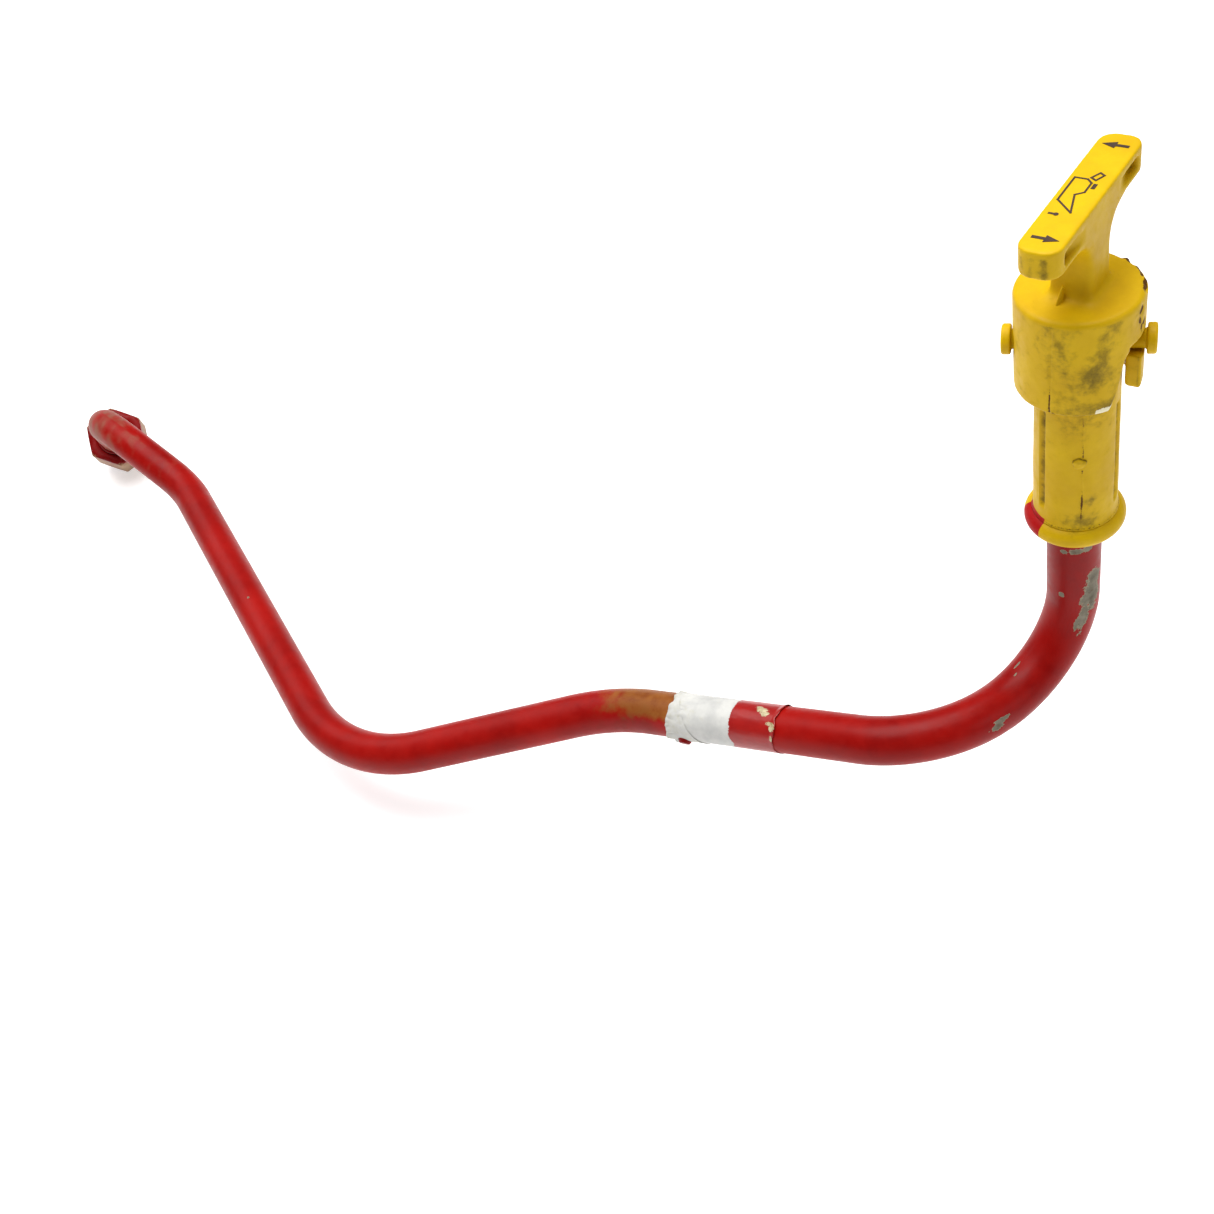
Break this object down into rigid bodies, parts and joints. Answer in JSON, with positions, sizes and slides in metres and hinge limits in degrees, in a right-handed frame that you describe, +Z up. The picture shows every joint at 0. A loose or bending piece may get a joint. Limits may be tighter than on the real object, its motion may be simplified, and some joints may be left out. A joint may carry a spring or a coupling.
{
  "type": "oil level gauge tube",
  "caption": "Bent red steel oil gauge tube with a hex flare nut at its foot, and a yellow receiver with a bayonet T-handle cap gauge on top.",
  "frame": {"origin": "on the cap's axis at the underside of the receiver's flange, where the tube's straight clamping length begins", "axes": "+Z up along the cap's and the tube top's axis; +X away from the nut side; +Y towards the nut end"},
  "size_m": [0.4458, 0.5072, 0.297],
  "materials": {
    "red_paint": "gloss enamel, chipped to bare steel in places",
    "yellow_plastic": "glass-filled nylon, moulded, scuffed and grimy",
    "black_ink": "pad-printed ink",
    "rubber": "moulded nitrile rubber",
    "zinc_steel": "zinc plated, turned",
    "cable": "wound spring-steel wire",
    "label_paper": "blank coated paper, partly overpainted"
  },
  "bodies": {
    "root": {"gauge_tube": "red_paint", "weld_nub": "red_paint", "tube_label": "label_paper", "label_ply": "label_paper", "receiver_sleeve": "yellow_plastic", "receiver_seal": "rubber", "lock_pin": "yellow_plastic", "cap_seal": "rubber"},
    "gauge": {"seal_retainer": "zinc_steel", "swivel_washer": "zinc_steel", "swivel_cup": "zinc_steel", "cable_ferrule": "zinc_steel", "gauge_cable": "cable", "blade_ferrule": "zinc_steel", "gauge_blade": "zinc_steel", "blade_tip": "zinc_steel"},
    "cap": {"cap_body": "yellow_plastic", "near_arrow": "black_ink", "far_arrow": "black_ink", "oil_can_outline": "black_ink", "oil_can_handle": "black_ink", "oil_drop": "black_ink", "swivel_stud": "zinc_steel"},
    "nut_sleeve": {"support_sleeve": "red_paint"},
    "nut": {"tube_nut": "red_paint"}
  },
  "joints": [
    {"name": "cap_press", "type": "slide", "parent": "root", "child": "gauge", "axis": [0, 0, 1], "range_m": [-0.0017, 0], "stiffness_N_per_m": 200, "springref_m": 0.0075, "deforming": ["cap_seal"]},
    {"name": "cap_turn", "type": "hinge", "parent": "gauge", "child": "cap", "pos_m": [0, 0, 0.08], "axis": [0, 0, 1], "range_deg": [0, 30]},
    {"name": "nut_slide", "type": "slide", "parent": "root", "child": "nut_sleeve", "axis": [0.1204, -0.6893, 0.7144], "range_m": [0, 0.014]},
    {"name": "nut_spin", "type": "hinge", "parent": "nut_sleeve", "child": "nut", "pos_m": [-0.40023, 0.45871, -0.1418], "axis": [-0.1204, 0.6893, -0.7144], "continuous": true}
  ],
  "couplings": [
    {"joint": "cap_press", "follows": "cap_turn", "m_per_rad": -0.0030558}
  ]
}
